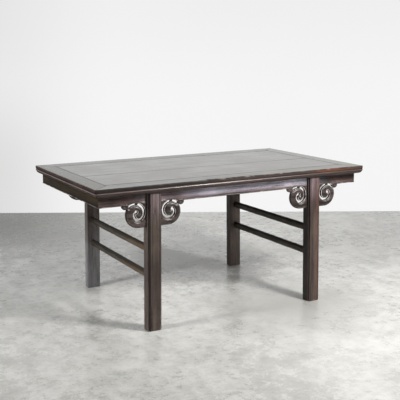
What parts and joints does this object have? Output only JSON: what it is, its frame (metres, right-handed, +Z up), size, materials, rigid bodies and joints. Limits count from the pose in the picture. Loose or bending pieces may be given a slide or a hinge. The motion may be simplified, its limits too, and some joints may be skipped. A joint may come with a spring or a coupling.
{
  "type": "recessed-leg altar table",
  "caption": "Long wooden side table with a framed panel top, moulded edge, pierced scroll spandrels, recessed splayed legs and oval end stretchers.",
  "frame": {"origin": "on the floor under the middle of the table top", "axes": "+X along the length of the top, to the right for someone facing the front; +Y from the front edge to the back edge; +Z up"},
  "size_m": [1.8, 1.046, 0.84],
  "materials": {
    "frame_lacquer": "worn dark brown lacquer over wood, satin, reddish where rubbed",
    "panel_lacquer": "worn dark brown lacquer with long grain streaks, satin",
    "underside_wood": "thin dark wash over bare wood, matt",
    "carved_lacquer": "dark plum brown lacquer, satin, rubbed on the raised beads",
    "leg_lacquer": "dark brown lacquer, satin, reddish brown where worn",
    "stretcher_lacquer": "dark olive brown lacquer, satin"
  },
  "bodies": {
    "root": {"top_frame_front": "frame_lacquer", "top_frame_back": "frame_lacquer", "top_frame_left": "frame_lacquer", "top_frame_right": "frame_lacquer", "top_board_front": "panel_lacquer", "top_board_back": "panel_lacquer", "batten_1": "underside_wood", "batten_2": "underside_wood", "batten_3": "underside_wood", "batten_4": "underside_wood", "apron_front_left": "carved_lacquer", "apron_front_centre": "carved_lacquer", "apron_front_right": "carved_lacquer", "apron_back_left": "carved_lacquer", "apron_back_centre": "carved_lacquer", "apron_back_right": "carved_lacquer", "apron_left_end": "carved_lacquer", "apron_right_end": "carved_lacquer", "spandrel_front_left": "carved_lacquer", "spandrel_front_right": "carved_lacquer", "spandrel_back_left": "carved_lacquer", "spandrel_back_right": "carved_lacquer", "leg_front_left": "leg_lacquer", "leg_front_right": "leg_lacquer", "leg_back_left": "leg_lacquer", "leg_back_right": "leg_lacquer", "stretcher_left_upper": "stretcher_lacquer", "stretcher_left_lower": "stretcher_lacquer", "stretcher_right_upper": "stretcher_lacquer", "stretcher_right_lower": "stretcher_lacquer"}
  },
  "joints": []
}
